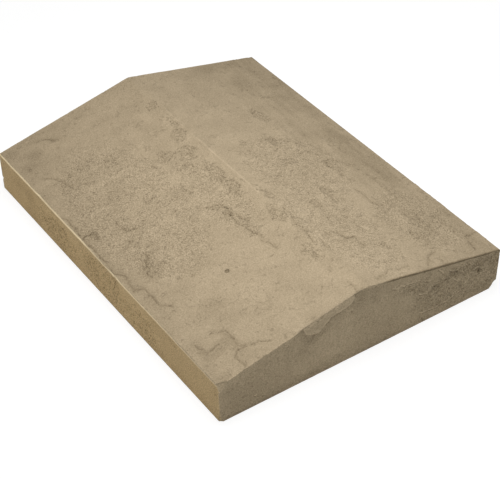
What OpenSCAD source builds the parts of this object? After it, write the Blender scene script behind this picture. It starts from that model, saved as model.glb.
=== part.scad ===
// Peaked wall cap: one coping unit of cast concrete, laid with others end to end along the top
// of a garden wall. The ridge runs along Y and both slopes shed water to the upright edges.
// The two ends have a tooled, stone-like face, and the front end shows knocks from handling.
// Millimetres, +Z up, front end at -Y, origin in the middle of the flat base.

/* [Body] */
// Width across both slopes, from upright edge to upright edge
cap_w = 305; // [240:5:420]
// Length along the ridge, from end to end
cap_l = 406; // [240:2:610]
// Height of the upright edges
edge_h = 43; // [32:1:70]
// Rise of the ridge above the upright edges
ridge_rise = 32; // [16:1:60]

/* [Arrises] */
// Radius along the ridge
ridge_r = 12; // [4:1:22]
// Radius where a slope meets an upright edge
arris_r = 1.6; // [0.8:0.2:4]
// Radius where an upright edge meets the base
base_r = 1.2; // [0.6:0.2:4]

/* [Tooled ends] */
// Depth of the tooling on the front end
front_tooling = 1.6; // [0.8:0.1:4]
// Depth of the tooling on the back end
back_tooling = 1.2; // [0.8:0.1:4]
// Distance between neighbouring tool marks
mark_pitch = 8; // [6:0.5:14]
// Length of the slow swells under the tool marks
swell_l = 56; // [30:1:120]
// Height above the base over which the tooling dies out, so that the foot stays straight
straight_foot = 9; // [4:1:20]
// Depth below the slopes over which it dies out again, so that the top arris stays straight
straight_head = 8; // [4:1:14]

/* [Scar beside the ridge, on the front end] */
// Distance of its middle from the ridge, on the left slope
inner_scar_x = 39; // [32:1:50]
// Length along the arris
inner_scar_l = 56; // [30:1:64]
// Depth below the arris at which it begins, under a strip of the cast skin
inner_scar_drop = 7; // [0:1:14]
// Height on the end face
inner_scar_h = 22; // [14:1:28]
// Depth in its middle
inner_scar_depth = 1.8; // [0.6:0.1:4]

/* [Scar near the left edge, on the front end] */
// Distance of its middle from the ridge, on the left slope
outer_scar_x = 114; // [104:1:118]
// Length along the arris
outer_scar_l = 64; // [30:1:70]
// Depth below the arris at which it begins
outer_scar_drop = 0; // [0:1:6]
// Height on the end face
outer_scar_h = 20; // [12:1:28]
// Depth in its middle
outer_scar_depth = 2.2; // [0.6:0.1:4]

/* [Knocked corners] */
// Lower right corner of the front end: extent in X, Y and Z
low_right_knock = [7, 9, 8.5]; // [3:0.5:14]
// Lower left corner of the front end: extent in X, Y and Z
low_left_knock = [3.5, 4, 18]; // [3:0.5:28]
// Upper left corner of the front end: extent in X, Y and Z
top_left_knock = [9, 5, 8]; // [3:0.5:14]
// Radius of the nick in the upright arris at the back left
nick_r = 1.6; // [1:0.1:4]
// Height of that nick above the base
nick_h = 14; // [8:1:24]

/* [Hidden] */
stone = "#b5a583";
ridge_h = edge_h + ridge_rise;
// The extrusion runs past both ends, and the tooling trims it back to the true length.
overrun = 6;
// Part of the tooling that the slow swells make up; the marks are the rest.
swell_share = 0.55;
// Relief below this level is left as flat land on the end plane.
land = 0.3;
// How many times longer a swell is than it is high
swell_flat = 2;
// How far a tool mark may sit off its place, as a part of the pitch.
scatter = 0.3;

// A slope is the line from the sharp edge corner that touches the ridge's round. Its outward
// normal stands at slope_n degrees above X.
ridge_c = [0, ridge_h - ridge_r];
to_corner = [cap_w / 2, edge_h] - ridge_c;
slope_n = atan2(to_corner.y, to_corner.x) + acos(ridge_r / norm(to_corner));
normal = [cos(slope_n), sin(slope_n)];
arris_c = [cap_w / 2 - arris_r,
           ridge_c.y + (ridge_r - arris_r - normal.x * (cap_w / 2 - arris_r)) / normal.y];
base_c = [cap_w / 2 - base_r, base_r];

// Height of a slope's plane at a distance from the ridge
function slope_z(x) = ridge_c.y + (ridge_r - normal.x * abs(x)) / normal.y;

front_scars = [
    [-inner_scar_x, inner_scar_l, inner_scar_drop, inner_scar_h, inner_scar_depth],
    [-outer_scar_x, outer_scar_l, outer_scar_drop, outer_scar_h, outer_scar_depth]
];

// Repeatable value noise: hash() gives 0 to 1 at whole steps, noise() runs smoothly between them.
function hash(i, j, seed) =
    let (s = 43758.5 * sin(127.1 * i + 311.7 * j + 74.7 * seed))
    s - floor(s);
function ease(t) = t * t * (3 - 2 * t);
function mix(a, b, t) = a + (b - a) * t;
function noise(u, v, seed) =
    let (i = floor(u), j = floor(v), s = ease(u - i), t = ease(v - j))
    mix(mix(hash(i, j, seed), hash(i + 1, j, seed), s),
        mix(hash(i, j + 1, seed), hash(i + 1, j + 1, seed), s), t);

// Relief of a tooled face at (x, z), from 0 on the lands to 1 in the deepest hollow
function tooling(x, z, seed) =
    let (swell = noise(x / swell_l, z * swell_flat / swell_l, seed),
         mark = noise(x / mark_pitch, z / mark_pitch, seed + 1),
         foot = ease(max(0, min(1, z / straight_foot))),
         head = ease(max(0, min(1, (slope_z(x) - z) / straight_head))))
    foot * head * max(0, mix(mark, swell, swell_share) - land) / (1 - land);

// Depth at (x, z) of a shell-shaped scar under a slope's arris. The scar is a list of its place
// along X, its length, its drop below the arris, its height and its depth.
function scar_depth(x, z, scar) =
    let (along = 2 * (x - scar[0]) / scar[1],
         down = 2 * (slope_z(x) - z - scar[2]) / scar[3] - 1)
    scar[4] * max(0, 1 - pow(along, 2) - pow(down, 2));

// The half section's outline, from the base up, as the points where its arcs begin and end
half_section = [
    [base_c.x, 0],
    [cap_w / 2, base_c.y],
    [cap_w / 2, arris_c.y],
    arris_c + arris_r * normal,
    ridge_c + ridge_r * normal
];

// Section of the cap, drawn in X and Z, with a true arc at every arris
module section() {
    left_half = [for (i = [len(half_section) - 1:-1:0]) [-half_section[i].x, half_section[i].y]];
    polygon(concat(half_section, left_half));
    translate(ridge_c) circle(ridge_r, $fn = 64);
    for (side = [0, 1]) mirror([side, 0]) {
        translate(arris_c) circle(arris_r, $fn = 32);
        translate(base_c) circle(base_r, $fn = 32);
    }
}

// Waste in front of a tooled end face that lies at y = 0, with the stone on its +Y side. Its
// inner side is a net of points, scattered off their places, that stand as deep as the tooling
// or a scar.
module waste(depth, seed, scars = []) {
    cols = ceil(cap_w / mark_pitch) + 2;
    rows = ceil(ridge_h / mark_pitch) + 2;
    dx = cap_w / (cols - 2);
    dz = ridge_h / (rows - 2);
    front = -2 * overrun;
    net = [for (j = [0:rows], i = [0:cols])
        let (rim = i == 0 || j == 0 || i == cols || j == rows,
             x = (i - cols / 2) * dx + (rim ? 0 : dx * scatter * (2 * hash(i, j, seed + 2) - 1)),
             z = (j - 1) * dz + (rim ? 0 : dz * scatter * (2 * hash(i, j, seed + 3) - 1)))
        [x, rim ? 0 : max([depth * tooling(x, z, seed), for (s = scars) scar_depth(x, z, s)]), z]];
    corners = [for (j = [0, rows], i = [0, cols]) [(i - cols / 2) * dx, front, (j - 1) * dz]];
    function at(i, j) = j * (cols + 1) + i;
    a = len(net);
    inner = [for (j = [0:rows - 1], i = [0:cols - 1], half = [0, 1])
        half == 0 ? [at(i, j), at(i + 1, j + 1), at(i, j + 1)]
                  : [at(i, j), at(i + 1, j), at(i + 1, j + 1)]];
    bottom = [for (i = [0:cols - 1]) [a, at(i + 1, 0), at(i, 0)]];
    top = [for (i = [0:cols - 1]) [a + 2, at(i, rows), at(i + 1, rows)]];
    left = [for (j = [0:rows - 1]) [a, at(0, j), at(0, j + 1)]];
    right = [for (j = [0:rows - 1]) [a + 1, at(cols, j + 1), at(cols, j)]];
    closing = [
        [a, a + 1, at(cols, 0)], [a + 2, at(cols, rows), a + 3],
        [a, at(0, rows), a + 2], [a + 1, a + 3, at(cols, rows)],
        [a, a + 3, a + 1], [a, a + 2, a + 3]
    ];
    polyhedron(concat(net, corners), concat(inner, bottom, top, left, right, closing));
}

// Waste of a corner knocked off along one plane. way holds the signs of the corner's outward
// directions, and extent says how far the plane runs along each of its three edges.
module knock(corner, way, extent) {
    out = [way.x / extent.x, way.y / extent.y, way.z / extent.z];
    size = 4 * max(extent);
    translate(corner - [way.x * extent.x, 0, 0])
        rotate([0, acos(out.z / norm(out)), atan2(out.y, out.x)])
        translate([-size, -size, 0])
        cube([2 * size, 2 * size, size]);
}

module wall_cap() {
    left = -cap_w / 2;
    right = cap_w / 2;
    front = -cap_l / 2;
    back = cap_l / 2;
    color(stone)
    difference() {
        translate([0, back + overrun, 0])
            rotate([90, 0, 0])
            linear_extrude(cap_l + 2 * overrun)
            section();
        translate([0, front, 0]) waste(front_tooling, 4, front_scars);
        translate([0, back, 0]) rotate([0, 0, 180]) waste(back_tooling, 9);
        knock([right, front, 0], [1, -1, -1], low_right_knock);
        knock([left, front, 0], [-1, -1, -1], low_left_knock);
        knock([left, front, edge_h], [-1, -1, 1], top_left_knock);
        translate([left, back, nick_h]) sphere(nick_r, $fn = 48);
    }
}

wall_cap();
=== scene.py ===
from math import cos, radians, sin

import bpy
import numpy as np
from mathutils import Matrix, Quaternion, Vector, noise


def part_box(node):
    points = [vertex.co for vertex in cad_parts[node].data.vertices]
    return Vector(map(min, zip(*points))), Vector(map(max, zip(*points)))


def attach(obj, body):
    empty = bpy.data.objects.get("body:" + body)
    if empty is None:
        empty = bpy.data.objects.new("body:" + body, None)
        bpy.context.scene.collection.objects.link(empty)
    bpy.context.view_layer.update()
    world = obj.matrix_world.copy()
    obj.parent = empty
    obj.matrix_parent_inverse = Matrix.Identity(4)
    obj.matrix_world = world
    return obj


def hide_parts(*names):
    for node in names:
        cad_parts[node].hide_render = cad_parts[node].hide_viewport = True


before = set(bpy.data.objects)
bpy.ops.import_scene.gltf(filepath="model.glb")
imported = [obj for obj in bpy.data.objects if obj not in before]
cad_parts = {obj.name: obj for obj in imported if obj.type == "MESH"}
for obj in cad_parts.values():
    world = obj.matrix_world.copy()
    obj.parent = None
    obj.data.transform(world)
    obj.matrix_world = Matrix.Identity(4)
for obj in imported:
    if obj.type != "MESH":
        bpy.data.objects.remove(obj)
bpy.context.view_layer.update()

# The cap lies with its ridge along Y and its front end at -Y. Lengths are in millimetres and are
# turned to metres where they reach Blender.
MM = 0.001
low, high = (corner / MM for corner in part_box("wall_cap"))
HALF_W = high.x
FRONT = low.y
RIDGE_H = high.z
EDGE_H = 43.0
SLOPE = (RIDGE_H - EDGE_H) / HALF_W


def linear(hex_colour):
    """An sRGB hex colour as the linear colour that Blender's sockets take."""
    parts = [int(hex_colour[i:i + 2], 16) / 255 for i in (1, 3, 5)]
    return [c / 12.92 if c <= 0.04045 else ((c + 0.055) / 1.055) ** 2.4 for c in parts] + [1.0]


def add(tree, kind, links=None, **settings):
    """Adds a node. links gives each input, by name or number, a value, a node or a node's output."""
    node = tree.nodes.new(kind)
    for name, value in settings.items():
        setattr(node, name, value)
    for key, source in (links or {}).items():
        named = [end for end in node.inputs if end.enabled and end.name == key]
        target = named[0] if named else node.inputs[key]
        if isinstance(source, bpy.types.Node):
            source = [end for end in source.outputs if end.enabled][0]
        if isinstance(source, bpy.types.NodeSocket):
            tree.links.new(source, target)
        else:
            target.default_value = source
    return node


# Camera: the photograph's view, found from the outline's straight lines and corners.
PHOTO_W = 500
FOCAL_PX = 1496.8
SENSOR = 36.0
AZIMUTH = radians(-32.364)
ELEVATION = radians(39.045)
ROLL = radians(-2.206)
DISTANCE = 1417.3
AIM = Vector((-8.9, -33.5, 20.0))


def set_camera():
    data = bpy.data.cameras.new("camera")
    data.sensor_width = SENSOR
    data.lens = FOCAL_PX * SENSOR / PHOTO_W
    camera = bpy.data.objects.new("camera", data)
    bpy.context.collection.objects.link(camera)
    back = Vector((sin(AZIMUTH) * cos(ELEVATION), -cos(AZIMUTH) * cos(ELEVATION), sin(ELEVATION)))
    camera.location = (AIM + back * DISTANCE) * MM
    camera.rotation_mode = "QUATERNION"
    camera.rotation_quaternion = (-back).to_track_quat("-Z", "Y") @ Quaternion((0, 0, 1), ROLL)
    bpy.context.scene.camera = camera


def add_lamp(name, colour, energy, size, place, aim):
    lamp = bpy.data.lights.new(name, "AREA")
    lamp.shape = "SQUARE"
    lamp.size = size
    lamp.energy = energy
    lamp.color = linear(colour)[:3]
    piece = bpy.data.objects.new(name, lamp)
    piece.location = place
    piece.rotation_mode = "QUATERNION"
    piece.rotation_quaternion = (Vector(aim) - Vector(place)).to_track_quat("-Z", "Y")
    bpy.context.collection.objects.link(piece)


def set_light():
    """Soft studio light: a large lamp overhead, a weak warm one at the left and an even white surround."""
    add_lamp("key", "#ffffff", 2.9, 0.4, (-0.03, -0.09, 0.68), (-0.03, -0.09, 0))
    add_lamp("fill", "#ffe8c6", 0.56, 0.5, (-0.9, 0.2, 0.14), (-0.15, 0.0, 0.02))

    world = bpy.data.worlds.new("surround")
    bpy.context.scene.world = world
    world.use_nodes = True
    tree = world.node_tree
    tree.nodes.clear()
    path = add(tree, "ShaderNodeLightPath")
    lit = add(tree, "ShaderNodeBackground", {"Color": linear("#ffffff"), "Strength": 0.36})
    seen = add(tree, "ShaderNodeBackground", {"Color": linear("#ffffff"), "Strength": 1.0})
    shown = add(tree, "ShaderNodeMath", {0: path.outputs["Is Camera Ray"],
                                         1: path.outputs["Is Glossy Ray"]}, operation="MAXIMUM")
    shown = add(tree, "ShaderNodeMath", {0: shown,
                                         1: path.outputs["Is Transmission Ray"]}, operation="MAXIMUM")
    both = add(tree, "ShaderNodeMixShader", {0: shown, 1: lit, 2: seen})
    add(tree, "ShaderNodeOutputWorld", {"Surface": both})


def set_floor():
    bpy.ops.object.select_all(action="DESELECT")
    bpy.ops.mesh.primitive_plane_add(size=8)
    floor = bpy.context.active_object
    floor.name = "floor"
    paper = bpy.data.materials.new("white studio paper")
    paper.use_nodes = True
    tree = paper.node_tree
    tree.nodes.clear()
    path = add(tree, "ShaderNodeLightPath")
    matt = add(tree, "ShaderNodeBsdfDiffuse", {"Color": linear("#ececec")})
    matt_seen = add(tree, "ShaderNodeBsdfDiffuse", {"Color": linear("#f6f6f6")})
    glow = add(tree, "ShaderNodeEmission", {"Color": linear("#ffffff"), "Strength": 1.2})
    shown = add(tree, "ShaderNodeMath", {0: path.outputs["Is Camera Ray"],
                                         1: path.outputs["Is Glossy Ray"]}, operation="MAXIMUM")
    shown = add(tree, "ShaderNodeMath", {0: shown,
                                         1: path.outputs["Is Transmission Ray"]}, operation="MAXIMUM")
    seen = add(tree, "ShaderNodeMixShader", {0: 0.7, 1: matt_seen, 2: glow})
    both = add(tree, "ShaderNodeMixShader", {0: shown, 1: matt, 2: seen})
    add(tree, "ShaderNodeOutputMaterial", {"Surface": both})
    floor.data.materials.append(paper)


# Marks on the stone. A place on the slopes is given across from the ridge, with the right side
# positive, and along from the front end; on the sides, along and up; on the front end, across and up.
AXES = {"side": (1, 2), "end": (0, 2), "top": (0, 1)}
# Patches are given as the place of their middle and their half sizes.
# Flaked patches, where the skin has come off in crumbs.
FLAKES = {
    "top": [
        (-31, 131, 5, 13), (-37, 168, 5, 12), (-13, 188, 7, 12), (-14, 215, 7, 17), (-27, 246, 4, 8),
        (-18, 262, 9, 11), (-37, 272, 8, 11), (-10, 290, 8, 9), (-5, 305, 4, 14), (-7, 348, 6, 7),
        (-4, 130, 6, 12), (7, 158, 4, 13), (-9, 70, 5, 12), (-47, 221, 3, 8), (-42, 298, 3, 4),
        (38, 127, 5, 8), (37, 250, 4, 7), (62, 145, 4, 18), (84, 288, 7, 13), (66, 243, 4, 8),
        (58, 203, 8, 6)
    ],
    "end": [(101, 42, 3, 3), (77, 36, 3, 3), (127, 32, 3, 5)]
}
# Soft darker clouds in the skin. The one at the front-left corner, (-147, 5), is painted shade where the arris rounds
# off.
CLOUDS = {
    "top": [
        (-103, 80, 6, 6), (-101, 268, 5, 6), (-140, 363, 7, 5), (-128, 376, 7, 7), (-146, 397, 5, 8),
        (-100, 376, 4, 6), (-120, 155, 10, 12), (-110, 180, 5, 7), (-146, 180, 5, 60), (-31, 331, 6, 10),
        (-24, 309, 9, 4), (2, 18, 3, 11), (93, 396, 22, 8), (108, 350, 9, 17), (138, 340, 5, 7),
        (132, 378, 3, 7), (132, 195, 14, 60), (-147, 5, 7, 6), (114, 70, 5, 20), (118, 160, 4, 30), (104, 215, 4, 20), (63, 2, 8, 3)
    ],
    "side": [(350, 30, 18, 5)],
    "end": [(-140, 32, 10, 8), (-112, 14, 38, 20), (-62, 40, 8, 10), (60, 40, 8, 12), (120, 36, 18, 8)]
}
# Sunken ground with a crisp rim, between the lobes of the skin.
SUNK = {"top": [(-120, 34, 5, 14), (-133, 31, 10, 4), (-144, 36, 4, 7)]}
# Pale patches, rubbed or limy.
PALE = {
    "top": [
        (-92, 110, 12, 10), (29, 221, 3, 6), (-97, 30, 14, 20), (-137, 14, 10, 9), (-118, 128, 9, 13),
        (25, 28, 12, 14), (118, 380, 10, 12), (-104, 32, 10, 13), (-125, 62, 11, 16), (-136, 17, 9, 10),
        (-133, 45, 6, 6)
    ],
    "side": [(200, 22, 80, 20)],
    "end": [
        (-19, 57, 7, 3), (35, 54, 6, 3), (101, 31, 5, 2), (136, 28, 4, 2), (-30, 20, 30, 8),
        (51, 36, 7, 9), (115, 29, 6, 10), (5, 40, 26, 16), (-62, 17, 16, 9)
    ]
}
# Coarse ground, where the grain and the pores are open.
COARSE = {
    "top": [
        (-97, 235, 50, 105), (-30, 195, 20, 60), (35, 90, 35, 75), (60, 190, 45, 60), (110, 70, 30, 50)
    ],
    "side": [(195, 22, 45, 20), (130, 18, 25, 13), (285, 20, 38, 15)],
    "end": [(120, 26, 70, 22), (50, 48, 14, 8)]
}
# The strip of cast skin left under the front arris, proud of the dressed stone below it.
SKIN = {"end": [(-52, 62, 14, 13), (-32, 70, 20, 10)]}
# Seams: ragged sunken lines, each through the places listed.
SEAMS = {
    "top": [
        [(-124, 3), (-125, 16), (-120, 22), (-112, 21), (-102, 17), (-93, 11)],
        [(-112, 21), (-115, 26), (-115, 38), (-114, 47), (-120, 51), (-127, 53)],
        [(-142, 52), (-142, 45), (-139, 39), (-134, 38), (-127, 39)],
        [(6, 135), (6, 120), (1, 110), (3, 103), (2, 95), (0, 83), (-2, 77)],
        [(24, 84), (28, 78), (30, 72), (32, 69), (38, 70), (38, 61), (37, 54), (39, 52)],
        [(15, 86), (19, 85), (19, 81), (14, 80)],
        [(-9, 16), (-8, 10), (-9, 3)],
        [(3, 65), (7, 75)],
        [(54, 50), (57, 42)],
        [(-134, 103), (-140, 113), (-141, 140), (-149, 146)],
        [(-149, 144), (-145, 165), (-150, 176), (-150, 276)],
        [(-129, 146), (-128, 159), (-119, 168), (-118, 178)],
        [(-85, 233), (-72, 233)],
        [(-135, 194), (-124, 196), (-120, 199)],
        [(-139, 225), (-138, 233), (-142, 235), (-147, 237)],
        [(-106, 211), (-113, 214), (-118, 222)],
        [(-123, 305), (-127, 322), (-131, 332), (-136, 338)],
        [(-102, 381), (-112, 390), (-120, 395)],
        [(-28, 94), (-30, 105), (-33, 113)],
        [(-30, 146), (-31, 157), (-36, 165)],
        [(-33, 177), (-47, 184), (-52, 191)],
        [(-29, 118), (-37, 143), (-32, 176)],
        [(17, 6), (29, 10), (35, 14), (45, 11), (55, 11)],
        [(72, 6), (80, 15), (91, 20)],
        [(91, 46), (92, 55)],
        [(98, 103), (94, 105), (91, 111), (91, 119), (90, 135)],
        [(131, 10), (133, 20), (136, 30), (150, 32)],
        [(92, 179), (94, 192), (108, 186)]
    ],
    "end": [
        [(95, 45), (99, 42), (104, 40)],
        [(46, 50), (52, 44), (54, 40)],
        [(63, 4), (65, 1)]
    ]
}
# Crests: fine raised lines, painted pale along them as a highlight.
CRESTS = {
    "top": [[(0, 165), (0, 277)], [(0, 300), (1, 330)], [(8, 72), (12, 96)], [(-135, 194), (-122, 196)]],
    "side": [[(376, 20), (377, 22)], [(307, 30), (308, 32)], [(171, 29), (173, 31)]],
    "end": [
        [(-117, 13), (-116, 13)], [(-53, 48), (-47, 48)],
        [(29, 58), (34, 55)], [(38, 57), (42, 54)], [(42, 55), (50, 54), (59, 52)], [(66, 48), (72, 46)],
        [(81, 54), (84, 51), (87, 46)], [(94, 47), (99, 43), (103, 42)], [(100, 33), (104, 29)],
        [(62, 13), (78, 11)], [(80, 11), (93, 12), (107, 16)], [(99, 3), (104, 2)], [(122, 34), (128, 35)],
        [(134, 26), (139, 25)], [(129, 32), (134, 30)], [(112, 22), (120, 26)], [(60, 36), (68, 33)]
    ]
}
# Pits: the place and the radius. They are painted darker inside as shade.
PITS = {"top": [(-76, 104, 1.9)], "end": [(103, 41, 1.2), (128, 29, 1.3), (77, 36, 1.1)]}
PIT_DEPTH = 1.4
# Distance in millimetres at which a mark stops being felt
REACH = 12.0


def nearest_patch(places, patches):
    """How far inside the nearest patch each place lies, in millimetres, and below 0 outside."""
    inside = np.full(len(places), -REACH)
    for u, v, half_u, half_v in patches:
        r = np.hypot((places[:, 0] - u) / half_u, (places[:, 1] - v) / half_v)
        inside = np.maximum(inside, (1 - r) * min(half_u, half_v))
    return inside


def nearest_pit(places, pits):
    """How far inside the nearest pit each place lies."""
    return nearest_patch(places, [(u, v, radius, radius) for u, v, radius in pits])


def nearest_line(places, lines):
    """How near the closest line each place lies: 0 on it, and below 0 by the distance away. With it
    comes that distance once more, above 0 on the line's left and below 0 on its right."""
    away = np.full(len(places), REACH)
    beside = np.full(len(places), REACH)
    for line in lines:
        for start, end in zip(line, line[1:]):
            offset, run = places - start, np.subtract(end, start)
            part = np.clip(offset @ run / (run @ run), 0, 1)
            gap = np.linalg.norm(offset - part[:, None] * run, axis=1)
            turn = np.sign(run[0] * offset[:, 1] - run[1] * offset[:, 0])
            closer = gap < away
            beside[closer] = (gap * turn)[closer]
            away = np.minimum(away, gap)
    return -away, beside


NET = 8


def select_only(piece):
    bpy.ops.object.select_all(action="DESELECT")
    piece.select_set(True)
    bpy.context.view_layer.objects.active = piece


def stone_block():
    """A copy of the cap's solid with an even net of faces that can carry relief. Its base stays one face."""
    block = bpy.data.objects.new("cap_stone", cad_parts["wall_cap"].data.copy())
    bpy.context.collection.objects.link(block)
    select_only(block)
    bpy.ops.object.mode_set(mode="EDIT")
    bpy.ops.mesh.select_all(action="SELECT")
    bpy.ops.mesh.remove_doubles(threshold=1e-6)
    bpy.ops.object.mode_set(mode="OBJECT")
    net = block.modifiers.new("net", "REMESH")
    net.mode = "SHARP"
    net.octree_depth = NET
    net.scale = 0.99
    net.sharpness = 1.0
    bpy.ops.object.modifier_apply(modifier=net.name)

    for face in block.data.polygons:
        centre = face.center / MM
        face.select = (face.normal.z < -0.99 and centre.z < 0.3 and abs(centre.x) < HALF_W - 8
                       and abs(centre.y) < -FRONT - 10)
    bpy.ops.object.mode_set(mode="EDIT")
    bpy.ops.mesh.select_mode(type="FACE")
    bpy.ops.mesh.delete(type="FACE")
    bpy.ops.mesh.select_mode(type="EDGE")
    bpy.ops.mesh.select_all(action="DESELECT")
    bpy.ops.mesh.select_non_manifold()
    bpy.ops.mesh.edge_face_add()
    bpy.ops.object.mode_set(mode="OBJECT")
    return block


def lay_out_marks(block):
    """Stores where the marks are, and which way each point faces, for the relief and the finish."""
    mesh = block.data
    count = len(mesh.vertices)
    spots = np.empty(count * 3)
    mesh.vertices.foreach_get("co", spots)
    spots = spots.reshape(-1, 3) / MM
    facing = np.empty(count * 3)
    mesh.vertex_normals.foreach_get("vector", facing)
    facing = facing.reshape(-1, 3)
    wander = np.array([noise.noise_vector(Vector(s) / 9) * 3.0 + noise.noise_vector(Vector(s) / 3.5) * 1.1
                       for s in spots])
    places = spots - (0, FRONT, 0)
    main_axis = np.argmax(abs(facing), axis=1)
    faces = {"side": main_axis == 0, "end": (main_axis == 1) & (spots[:, 1] < 0), "top": main_axis == 2}

    stored = {}
    for name, marks, measure, loose in (
            ("flake", FLAKES, nearest_patch, 1.0), ("cloud", CLOUDS, nearest_patch, 1.0),
            ("pale", PALE, nearest_patch, 1.0), ("coarse", COARSE, nearest_patch, 1.0),
            ("skin", SKIN, nearest_patch, 0.4), ("sunk", SUNK, nearest_patch, 0.7),
            ("pit", PITS, nearest_pit, 0.3)):
        stored[name] = np.full(count, -REACH)
        for face, on_face in faces.items():
            moved = (places + loose * wander)[on_face][:, AXES[face]]
            stored[name][on_face] = measure(moved, marks.get(face, []))
    for name, marks, loose in (("seam", SEAMS, 0.7), ("crest", CRESTS, 0.15)):
        near, beside = np.full(count, -REACH), np.full(count, REACH)
        for face, on_face in faces.items():
            moved = (places + loose * wander)[on_face][:, AXES[face]]
            near[on_face], beside[on_face] = nearest_line(moved, marks.get(face, []))
        stored[name] = near
        stored[name + " side"] = beside
    for axis, name in enumerate(("side", "end")):
        stored[name] = np.clip((abs(facing[:, axis]) - 0.5) / 0.3, 0, 1)
    stored["top"] = np.clip((facing[:, 2] - 0.5) / 0.3, 0, 1)
    for name, values in stored.items():
        mesh.attributes.new(name, "FLOAT", "POINT").data.foreach_set("value", values)
    return list(stored)


def weathering(tree, place, marks):
    """Relief of the stone in millimetres, with the masks that the colour follows."""
    open_ground = add(tree, "ShaderNodeMapRange", {"Value": marks["coarse"], "From Min": -9.0,
                                                   "From Max": 6.0}, interpolation_type="SMOOTHSTEP")
    dressed = add(tree, "ShaderNodeMath", {0: marks["end"], 1: 0.35}, operation="MULTIPLY")
    open_ground = add(tree, "ShaderNodeMath", {0: open_ground, 1: dressed}, operation="MAXIMUM")
    # Flaked patches: torn to a ragged outline, with crumbs broken out of them, painted darker as shade in their
    # hollows.
    tear = add(tree, "ShaderNodeTexNoise", {"Vector": place, "Scale": 1 / 9, "Detail": 6.0,
                                            "Roughness": 0.72})
    torn = add(tree, "ShaderNodeMath", {0: tear, 1: 26.0, 2: -13.5}, operation="MULTIPLY_ADD")
    torn = add(tree, "ShaderNodeMath", {0: marks["flake"], 1: torn}, operation="ADD")
    flaked = add(tree, "ShaderNodeMapRange", {"Value": torn, "From Min": 0.0, "From Max": 1.2},
                 interpolation_type="SMOOTHSTEP")
    brink = add(tree, "ShaderNodeMath", {0: torn, 1: 0.4, 2: 0.6}, operation="COMPARE")
    crumbs = add(tree, "ShaderNodeTexNoise", {"Vector": place, "Scale": 1 / 2.6, "Detail": 2.0,
                                              "Roughness": 0.65})
    crumbs = add(tree, "ShaderNodeMapRange", {"Value": crumbs, "From Min": 0.48, "From Max": 0.56},
                 interpolation_type="SMOOTHSTEP")
    crumbs = add(tree, "ShaderNodeMath", {0: crumbs, 1: flaked}, operation="MULTIPLY")
    # Layers of the skin: contour lines of a slow noise, each a ledge that dies out behind its lip.
    swell = add(tree, "ShaderNodeTexNoise", {"Vector": place, "Scale": 1 / 62, "Detail": 8.0,
                                             "Roughness": 0.6})
    level = add(tree, "ShaderNodeMath", {0: swell, 1: 13.0}, operation="MULTIPLY")
    part = add(tree, "ShaderNodeMath", {0: level}, operation="FRACT")
    lip = add(tree, "ShaderNodeMapRange", {"Value": part, "From Min": 0.0, "From Max": 0.06},
              interpolation_type="SMOOTHSTEP")
    fade = add(tree, "ShaderNodeMath", {0: 1.0, 1: part}, operation="SUBTRACT")
    where = add(tree, "ShaderNodeTexNoise", {"Vector": place, "Scale": 1 / 26, "Detail": 3.0})
    where = add(tree, "ShaderNodeMath", {0: open_ground, 1: 0.08, 2: where}, operation="MULTIPLY_ADD")
    where = add(tree, "ShaderNodeMapRange", {"Value": where, "From Min": 0.52, "From Max": 0.64},
                interpolation_type="SMOOTHSTEP")
    where = add(tree, "ShaderNodeMath", {0: where, 1: marks["top"]}, operation="MULTIPLY")
    ledge = add(tree, "ShaderNodeMath", {0: lip, 1: fade}, operation="MULTIPLY")
    ledge = add(tree, "ShaderNodeMath", {0: ledge, 1: where}, operation="MULTIPLY")
    # Painted shade: a darker band along the foot of each ledge's riser.
    foot = add(tree, "ShaderNodeMapRange", {"Value": part, "From Min": 0.08, "From Max": 0.0},
               interpolation_type="SMOOTHSTEP")
    foot = add(tree, "ShaderNodeMath", {0: foot, 1: where}, operation="MULTIPLY")
    # Hairlines: short pieces of a noise's middle contour, most of them on the open ground.
    vein = add(tree, "ShaderNodeTexNoise", {"Vector": place, "Scale": 1 / 13, "Detail": 5.0,
                                            "Roughness": 0.6})
    hair = add(tree, "ShaderNodeMath", {0: vein, 1: 0.5, 2: 0.015}, operation="COMPARE")
    kept = add(tree, "ShaderNodeTexNoise", {"Vector": place, "Scale": 1 / 5, "Detail": 1.0})
    kept = add(tree, "ShaderNodeMath", {0: open_ground, 1: 0.08, 2: kept}, operation="MULTIPLY_ADD")
    kept = add(tree, "ShaderNodeMapRange", {"Value": kept, "From Min": 0.57, "From Max": 0.63})
    hair = add(tree, "ShaderNodeMath", {0: hair, 1: kept}, operation="MULTIPLY")
    sunk = add(tree, "ShaderNodeMapRange", {"Value": marks["sunk"], "From Min": -0.8, "From Max": 0.8},
               interpolation_type="SMOOTHSTEP")
    # Seams, broken here and there, crests and pits.
    broken = add(tree, "ShaderNodeTexNoise", {"Vector": place, "Scale": 1 / 6, "Detail": 2.0})
    broken = add(tree, "ShaderNodeMapRange", {"Value": broken, "From Min": 0.38, "From Max": 0.55,
                                              "To Min": 0.35})
    thin = {}
    for name in ("seam", "crest"):
        core = add(tree, "ShaderNodeMath", {0: marks[name + " side"]}, operation="ABSOLUTE")
        core = add(tree, "ShaderNodeMapRange", {"Value": core, "From Min": 0.8, "From Max": 0.35})
        close = add(tree, "ShaderNodeMapRange", {"Value": marks[name], "From Min": -1.9, "From Max": -1.2})
        core = add(tree, "ShaderNodeMath", {0: core, 1: close}, operation="MULTIPLY")
        thin[name] = add(tree, "ShaderNodeMath", {0: core, 1: broken}, operation="MULTIPLY")
    # A painted highlight on the crests, strongest on the front end.
    lit = add(tree, "ShaderNodeMapRange", {"Value": marks["end"], "To Min": 0.35})
    crest_highlight = add(tree, "ShaderNodeMath", {0: thin["crest"], 1: lit}, operation="MULTIPLY")
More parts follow.
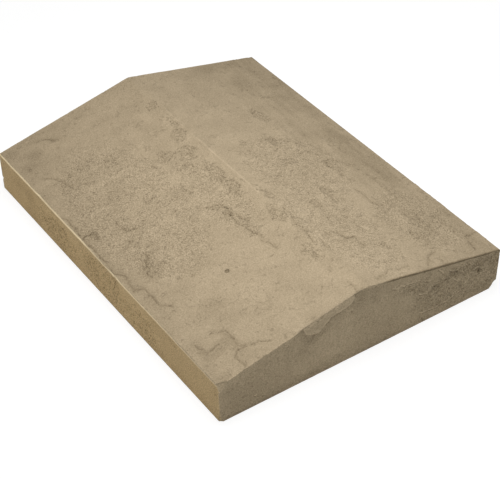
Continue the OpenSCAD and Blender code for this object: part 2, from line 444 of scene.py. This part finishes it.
    # The shadow that a crest casts below itself on the end.
    cast = add(tree, "ShaderNodeMath", {0: marks["crest side"], 1: -1.2, 2: 0.5}, operation="COMPARE")
    close = add(tree, "ShaderNodeMapRange", {"Value": marks["crest"], "From Min": -2.4, "From Max": -1.7})
    cast = add(tree, "ShaderNodeMath", {0: cast, 1: close}, operation="MULTIPLY")
    cast = add(tree, "ShaderNodeMath", {0: cast, 1: marks["end"]}, operation="MULTIPLY")
    seam = add(tree, "ShaderNodeMapRange", {"Value": marks["seam"], "From Min": -1.8, "From Max": -0.5},
               interpolation_type="SMOOTHSTEP")
    seam = add(tree, "ShaderNodeMath", {0: seam, 1: broken}, operation="MULTIPLY")
    crest = add(tree, "ShaderNodeMapRange", {"Value": marks["crest"], "From Min": -1.8, "From Max": -0.7},
                interpolation_type="SMOOTHSTEP")
    crest = add(tree, "ShaderNodeMath", {0: crest, 1: broken}, operation="MULTIPLY")
    pit = add(tree, "ShaderNodeMapRange", {"Value": marks["pit"], "From Min": -0.6, "From Max": 0.4},
              interpolation_type="SMOOTHSTEP")
    # The dressed end: chisel dints, deeper on coarse ground, and a hollow under the strip of skin, painted darker as
    # shade, with the strip's lower rim painted pale as a highlight.
    dints = add(tree, "ShaderNodeTexNoise", {"Vector": place, "Scale": 1 / 7, "Detail": 4.0,
                                             "Roughness": 0.58, "Distortion": 0.6})
    dints = add(tree, "ShaderNodeMapRange", {"Value": dints, "From Min": 0.6, "From Max": 0.32})
    chips = add(tree, "ShaderNodeTexNoise", {"Vector": place, "Scale": 1 / 2.3, "Detail": 2.0})
    chips = add(tree, "ShaderNodeMapRange", {"Value": chips, "From Min": 0.58, "From Max": 0.4})
    flank = add(tree, "ShaderNodeMapRange", {"Value": marks["side"], "From Min": 0.75})
    flank = add(tree, "ShaderNodeMath", {0: flank, 1: open_ground}, operation="MULTIPLY")
    pocks = add(tree, "ShaderNodeMath", {0: chips, 1: flank}, operation="MULTIPLY")
    dints = add(tree, "ShaderNodeMath", {0: chips, 1: 0.8, 2: dints}, operation="MULTIPLY_ADD")
    hard = add(tree, "ShaderNodeMapRange", {"Value": open_ground, "From Min": 0.35, "To Min": 0.35,
                                            "To Max": 1.0})
    dints = add(tree, "ShaderNodeMath", {0: dints, 1: hard}, operation="MULTIPLY")
    flat = add(tree, "ShaderNodeMapRange", {"Value": marks["end"], "From Min": 0.75})
    dints = add(tree, "ShaderNodeMath", {0: dints, 1: flat}, operation="MULTIPLY")
    below = add(tree, "ShaderNodeMapRange", {"Value": marks["skin"], "From Min": 0.4, "From Max": -0.6},
                interpolation_type="SMOOTHSTEP")
    near = add(tree, "ShaderNodeMapRange", {"Value": marks["skin"], "From Min": -9.0, "From Max": -0.5},
               interpolation_type="SMOOTHSTEP")
    hollow = add(tree, "ShaderNodeMath", {0: below, 1: near}, operation="MULTIPLY")
    rim = add(tree, "ShaderNodeMath", {0: marks["skin"], 1: 0.4, 2: 0.7}, operation="COMPARE")
    strip = add(tree, "ShaderNodeMapRange", {"Value": marks["skin"], "From Min": -0.4, "From Max": 0.6})

    height = add(tree, "ShaderNodeMath", {0: ledge, 1: 0.45}, operation="MULTIPLY")
    for mask, rise in ((flaked, -0.2), (crumbs, -0.2), (seam, -0.4), (crest, 0.3), (pit, -PIT_DEPTH),
                       (dints, -1.2), (hollow, -0.8), (sunk, -0.4), (hair, -0.25), (pocks, -0.9)):
        height = add(tree, "ShaderNodeMath", {0: mask, 1: rise, 2: height}, operation="MULTIPLY_ADD")
    return height, {"open": open_ground, "flaked": flaked, "brink": brink, "crumbs": crumbs, "foot": foot, "ledge": ledge,
                    "seam": seam, "crest": crest, "pit": pit, "dints": dints, "hollow": hollow,
                    "sunk": sunk, "hair": hair, "flank": flank, "pocks": pocks, "rim": rim,
                    "strip": strip, "crack": thin["seam"], "crest_highlight": crest_highlight, "cast": cast}


def below_slope(tree, axes):
    """How far below the plane of its slope a point lies, in millimetres."""
    beside = add(tree, "ShaderNodeMath", {0: axes.outputs["X"]}, operation="ABSOLUTE")
    under = add(tree, "ShaderNodeMath", {0: beside, 1: -SLOPE, 2: RIDGE_H}, operation="MULTIPLY_ADD")
    return add(tree, "ShaderNodeMath", {0: under, 1: axes.outputs["Z"]}, operation="SUBTRACT")


def cut_relief(block, names):
    """Carries the relief into the mesh, so that it shows as shape and not only as shading."""
    tree = bpy.data.node_groups.new("cap relief", "GeometryNodeTree")
    tree.interface.new_socket("Geometry", in_out="INPUT", socket_type="NodeSocketGeometry")
    tree.interface.new_socket("Geometry", in_out="OUTPUT", socket_type="NodeSocketGeometry")
    entry = add(tree, "NodeGroupInput")
    point = add(tree, "GeometryNodeInputPosition")
    place = add(tree, "ShaderNodeVectorMath", {0: point, "Scale": 1 / MM}, operation="SCALE")
    marks = {name: add(tree, "GeometryNodeInputNamedAttribute", {"Name": name}, data_type="FLOAT")
             for name in names}
    height = weathering(tree, place, marks)[0]
    # The front arris is rolled over beside the ridge, on the left slope.
    axes = add(tree, "ShaderNodeSeparateXYZ", {"Vector": place})
    behind = add(tree, "ShaderNodeMath", {0: axes.outputs["Y"], 1: FRONT}, operation="SUBTRACT")
    off = add(tree, "ShaderNodeMath", {0: below_slope(tree, axes), 1: behind}, operation="MAXIMUM")
    rolled = add(tree, "ShaderNodeMapRange", {"Value": off, "From Min": 5.0, "From Max": 0.0})
    rolled = add(tree, "ShaderNodeMath", {0: rolled, 1: 2.0}, operation="POWER")
    begin = add(tree, "ShaderNodeMapRange", {"Value": axes.outputs["X"], "From Min": -86.0,
                                             "From Max": -60.0}, interpolation_type="SMOOTHSTEP")
    end = add(tree, "ShaderNodeMapRange", {"Value": axes.outputs["X"], "From Min": 6.0,
                                           "From Max": -14.0}, interpolation_type="SMOOTHSTEP")
    rolled = add(tree, "ShaderNodeMath", {0: rolled, 1: begin}, operation="MULTIPLY")
    rolled = add(tree, "ShaderNodeMath", {0: rolled, 1: end}, operation="MULTIPLY")
    height = add(tree, "ShaderNodeMath", {0: rolled, 1: -1.8, 2: height}, operation="MULTIPLY_ADD")
    clear = add(tree, "ShaderNodeMapRange", {"Value": axes.outputs["Z"], "From Min": 0.5,
                                             "From Max": 4.0, "To Max": MM})
    height = add(tree, "ShaderNodeMath", {0: height, 1: clear}, operation="MULTIPLY")
    normal = add(tree, "GeometryNodeInputNormal")
    shift = add(tree, "ShaderNodeVectorMath", {0: normal, "Scale": height}, operation="SCALE")
    moved = add(tree, "ShaderNodeVectorMath", {0: point, 1: shift}, operation="ADD")
    # The front end is rubbed back along its foot, and its right upright arris toward the foot.
    low_down = add(tree, "ShaderNodeMapRange", {"Value": axes.outputs["Z"], "From Min": 9.0,
                                                "From Max": 1.0, "To Max": 1.2 * MM})
    front = add(tree, "ShaderNodeMapRange", {"Value": behind, "From Min": 4.0, "From Max": 1.0})
    back_off = add(tree, "ShaderNodeMath", {0: low_down, 1: front}, operation="MULTIPLY")
    foot = add(tree, "ShaderNodeMapRange", {"Value": axes.outputs["Z"], "From Min": 44.0, "From Max": 6.0,
                                            "To Max": -2.6 * MM})
    near = add(tree, "ShaderNodeMapRange", {"Value": behind, "From Min": 16.0, "From Max": 0.0},
               interpolation_type="SMOOTHSTEP")
    edge = add(tree, "ShaderNodeMapRange", {"Value": axes.outputs["X"], "From Min": 128.0,
                                            "From Max": HALF_W}, interpolation_type="SMOOTHSTEP")
    lean = add(tree, "ShaderNodeMath", {0: foot, 1: near}, operation="MULTIPLY")
    lean = add(tree, "ShaderNodeMath", {0: lean, 1: edge}, operation="MULTIPLY")
    lean = add(tree, "ShaderNodeCombineXYZ", {"X": lean, "Y": back_off})
    moved = add(tree, "ShaderNodeVectorMath", {0: moved, 1: lean}, operation="ADD")
    moved = add(tree, "ShaderNodeVectorMath", {0: moved, 1: low * MM}, operation="MAXIMUM")
    moved = add(tree, "ShaderNodeVectorMath", {0: moved, 1: high * MM}, operation="MINIMUM")
    shaped = add(tree, "GeometryNodeSetPosition", {"Geometry": entry, "Position": moved})
    add(tree, "NodeGroupOutput", {"Geometry": shaped})
    cut = block.modifiers.new("relief", "NODES")
    cut.node_group = tree
    bpy.ops.object.modifier_apply(modifier=cut.name)


def concrete_finish(names):
    """Buff cast concrete: a sandy skin with soft clouds, rough and darker where it has flaked, golden and
    finer on the upright edges, and duller on the tooled ends."""
    stone = bpy.data.materials.new("buff cast concrete")
    stone.use_nodes = True
    tree = stone.node_tree
    tree.nodes.clear()
    point = add(tree, "ShaderNodeTexCoord").outputs["Object"]
    place = add(tree, "ShaderNodeVectorMath", {0: point, "Scale": 1 / MM}, operation="SCALE")
    axes = add(tree, "ShaderNodeSeparateXYZ", {"Vector": place})
    marks = {name: add(tree, "ShaderNodeAttribute", attribute_name=name).outputs["Fac"] for name in names}
    relief, masks = weathering(tree, place, marks)

    # Grain of sand, and pores that open up on the coarse ground, painted darker as shade in them.
    sand = add(tree, "ShaderNodeTexNoise", {"Vector": place, "Scale": 1 / 1.25, "Detail": 1.0,
                                            "Roughness": 0.65})
    sand = add(tree, "ShaderNodeMath", {0: sand, 1: -0.5}, operation="ADD")
    rough = add(tree, "ShaderNodeMath", {0: masks["open"], 1: masks["flaked"]}, operation="MAXIMUM")
    coarse = add(tree, "ShaderNodeMapRange", {"Value": rough, "To Min": 0.85, "To Max": 1.8})
    coarse = add(tree, "ShaderNodeMath", {0: marks["side"], 1: 0.8, 2: coarse}, operation="MULTIPLY_ADD")
    coarse = add(tree, "ShaderNodeMath", {0: masks["flank"], 1: 1.3, 2: coarse}, operation="MULTIPLY_ADD")
    grain = add(tree, "ShaderNodeMath", {0: sand, 1: coarse}, operation="MULTIPLY")
    pores = add(tree, "ShaderNodeTexNoise", {"Vector": place, "Scale": 1 / 2.3, "Detail": 2.0,
                                             "Roughness": 0.65})
    pores = add(tree, "ShaderNodeMath", {0: masks["open"], 1: -0.07, 2: pores}, operation="MULTIPLY_ADD")
    pores = add(tree, "ShaderNodeMath", {0: masks["flaked"], 1: -0.03, 2: pores}, operation="MULTIPLY_ADD")
    pores = add(tree, "ShaderNodeMath", {0: marks["side"], 1: 0.06, 2: pores}, operation="MULTIPLY_ADD")
    pores = add(tree, "ShaderNodeMapRange", {"Value": pores, "From Min": 0.33, "From Max": 0.27},
                interpolation_type="SMOOTHSTEP")

    # Tone: 0 is the darkest stone and 1 the palest, and the colours of each face are mixed by it. Besides the stone's
    # own marks, it carries painted shade and painted highlights.
    mottle = add(tree, "ShaderNodeTexNoise", {"Vector": place, "Scale": 1 / 24, "Detail": 3.0,
                                              "Roughness": 0.55})
    tone = add(tree, "ShaderNodeMapRange", {"Value": mottle, "From Min": 0.3, "From Max": 0.7,
                                            "To Min": 0.57, "To Max": 0.74})
    cloud = add(tree, "ShaderNodeMapRange", {"Value": marks["cloud"], "From Min": -5.0, "From Max": 5.0},
                interpolation_type="SMOOTHSTEP")
    pale = add(tree, "ShaderNodeMapRange", {"Value": marks["pale"], "From Min": -4.0, "From Max": 4.0},
               interpolation_type="SMOOTHSTEP")
    # Painted shade: a soft darker band, up to 6 mm wide, around each seam.
    seam_shade = add(tree, "ShaderNodeMapRange", {"Value": marks["seam"], "From Min": -6.0, "From Max": 0.0},
               interpolation_type="SMOOTHSTEP")
    # Soft streaks along the right eave. The slopes are also painted darker toward both eaves and the back, as shade
    # where the light falls off.
    drawn = add(tree, "ShaderNodeVectorMath", {0: place, 1: (1 / 7, 1 / 50, 1 / 20)}, operation="MULTIPLY")
    streaks = add(tree, "ShaderNodeTexNoise", {"Vector": drawn, "Scale": 1.0, "Detail": 4.0})
    streaks = add(tree, "ShaderNodeMapRange", {"Value": streaks, "From Min": 0.45, "From Max": 0.62})
    right = add(tree, "ShaderNodeMapRange", {"Value": axes.outputs["X"], "From Min": 70.0,
                                             "From Max": 115.0}, interpolation_type="SMOOTHSTEP")
    streaks = add(tree, "ShaderNodeMath", {0: streaks, 1: right}, operation="MULTIPLY")
    streaks = add(tree, "ShaderNodeMath", {0: streaks, 1: marks["top"]}, operation="MULTIPLY")
    beside = add(tree, "ShaderNodeMath", {0: axes.outputs["X"]}, operation="ABSOLUTE")
    eave_shade = add(tree, "ShaderNodeMapRange", {"Value": beside, "From Min": 60.0, "From Max": 150.0})
    eave_shade = add(tree, "ShaderNodeMath", {0: eave_shade, 1: marks["top"]}, operation="MULTIPLY")
    back = add(tree, "ShaderNodeMapRange", {"Value": axes.outputs["Y"], "From Min": FRONT + 280.0,
                                            "From Max": -FRONT})
    back = add(tree, "ShaderNodeMath", {0: back, 1: marks["top"]}, operation="MULTIPLY")
    # A shadow line right under the front arris, on the right of the ridge.
    under = below_slope(tree, axes)
    shadow = add(tree, "ShaderNodeMapRange", {"Value": under, "From Min": 2.3, "From Max": 1.2})
    rightward = add(tree, "ShaderNodeMapRange", {"Value": axes.outputs["X"], "From Min": 14.0,
                                                 "From Max": 30.0})
    shadow = add(tree, "ShaderNodeMath", {0: shadow, 1: rightward}, operation="MULTIPLY")
    shadow = add(tree, "ShaderNodeMath", {0: shadow, 1: marks["end"]}, operation="MULTIPLY")
    in_front = add(tree, "ShaderNodeMath", {0: axes.outputs["Y"], 1: 0.0}, operation="LESS_THAN")
    shadow = add(tree, "ShaderNodeMath", {0: shadow, 1: in_front}, operation="MULTIPLY")
    for mask, depth in ((grain, 1.0), (pores, -0.11), (masks["flaked"], -0.05), (masks["crumbs"], -0.1), (masks["brink"], -0.16),
                        (masks["foot"], -0.2), (masks["ledge"], 0.05), (masks["seam"], -0.1), (masks["crack"], -0.17),
                        (seam_shade, -0.08), (masks["crest"], 0.08), (masks["cast"], -0.3), (masks["pit"], -0.45), (masks["hair"], -0.17),
                        (masks["crest_highlight"], 0.4),
                        (masks["sunk"], -0.12), (masks["dints"], -0.03), (masks["hollow"], -0.16),
                        (masks["pocks"], 0.2), (masks["flank"], 0.13), (masks["strip"], 0.12), (masks["rim"], 0.2),
                        (shadow, -0.9), (cloud, -0.11), (pale, 0.05), (streaks, -0.1), (eave_shade, -0.09),
                        (back, -0.07)):
        tone = add(tree, "ShaderNodeMath", {0: mask, 1: depth, 2: tone}, operation="MULTIPLY_ADD")

    top = add(tree, "ShaderNodeMix", {"Factor": tone, "A": linear("#7b6c53"), "B": linear("#c9b698")},
              data_type="RGBA", clamp_factor=True)
    side = add(tree, "ShaderNodeMix", {"Factor": tone, "A": linear("#806a45"), "B": linear("#d7bd8f")},
               data_type="RGBA", clamp_factor=True)
    end = add(tree, "ShaderNodeMix", {"Factor": tone, "A": linear("#7c6d54"), "B": linear("#cdba9a")},
              data_type="RGBA", clamp_factor=True)
    # The line where a slope's skin ends: on the worn arris, and lower toward the front.
    inward = add(tree, "ShaderNodeMath", {0: HALF_W, 1: beside}, operation="SUBTRACT")
    fall = add(tree, "ShaderNodeMath", {0: under, 1: inward}, operation="SUBTRACT")
    worn = add(tree, "ShaderNodeMapRange", {"Value": axes.outputs["Y"], "From Min": FRONT,
                                            "From Max": FRONT + 250.0, "To Min": 1.4, "To Max": 0.0})
    chipped = add(tree, "ShaderNodeMath", {0: mottle, 1: 2.0, 2: -1.0}, operation="MULTIPLY_ADD")
    fall = add(tree, "ShaderNodeMath", {0: fall, 1: worn}, operation="SUBTRACT")
    fall = add(tree, "ShaderNodeMath", {0: fall, 1: chipped}, operation="SUBTRACT")
    bare = add(tree, "ShaderNodeMapRange", {"Value": fall, "From Min": -0.3, "From Max": 0.4})
    bare = add(tree, "ShaderNodeMath", {0: bare, 1: marks["side"]}, operation="MINIMUM")
    colour = add(tree, "ShaderNodeMix", {"Factor": bare, "A": top, "B": side}, data_type="RGBA")
    colour = add(tree, "ShaderNodeMix", {"Factor": marks["end"], "A": colour, "B": end}, data_type="RGBA")

    # A painted highlight: a pale cream line along the left arris, least at the front.
    arris_highlight = add(tree, "ShaderNodeMath", {0: fall}, operation="ABSOLUTE")
    arris_highlight = add(tree, "ShaderNodeMapRange", {"Value": arris_highlight, "From Min": 1.3, "From Max": 0.6})
    left = add(tree, "ShaderNodeMath", {0: axes.outputs["X"], 1: 0.0}, operation="LESS_THAN")
    amount = add(tree, "ShaderNodeMapRange", {"Value": axes.outputs["Y"], "From Min": FRONT,
                                              "From Max": FRONT + 160.0, "To Min": 0.35, "To Max": 1.0})
    arris_highlight = add(tree, "ShaderNodeMath", {0: arris_highlight, 1: left}, operation="MULTIPLY")
    off_end = add(tree, "ShaderNodeMath", {0: 1.0, 1: marks["end"]}, operation="SUBTRACT")
    arris_highlight = add(tree, "ShaderNodeMath", {0: arris_highlight, 1: off_end}, operation="MULTIPLY")
    arris_highlight = add(tree, "ShaderNodeMath", {0: arris_highlight, 1: amount}, operation="MULTIPLY")
    colour = add(tree, "ShaderNodeMix", {"Factor": arris_highlight, "A": colour, "B": linear("#f2dfb8")},
                 data_type="RGBA")

    height = add(tree, "ShaderNodeMath", {0: grain, 1: 0.5, 2: relief}, operation="MULTIPLY_ADD")
    height = add(tree, "ShaderNodeMath", {0: pores, 1: -0.3, 2: height}, operation="MULTIPLY_ADD")
    bump = add(tree, "ShaderNodeBump", {"Strength": 0.7, "Distance": MM, "Height": height})
    surface = add(tree, "ShaderNodeBsdfPrincipled", {"Base Color": colour, "Roughness": 0.9,
                                                     "IOR": 1.5, "Specular IOR Level": 0.3,
                                                     "Normal": bump})
    add(tree, "ShaderNodeOutputMaterial", {"Surface": surface})
    return stone


set_camera()
set_light()
set_floor()
cap = stone_block()
mark_names = lay_out_marks(cap)
cut_relief(cap, mark_names)
cap.data.materials.clear()
cap.data.materials.append(concrete_finish(mark_names))
select_only(cap)
bpy.ops.object.shade_smooth_by_angle(angle=radians(40))
for face in cap.data.polygons:
    if len(face.vertices) > 4:
        face.use_smooth = False
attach(cap, "root")
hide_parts("wall_cap")

bpy.context.scene.view_settings.view_transform = "Standard"
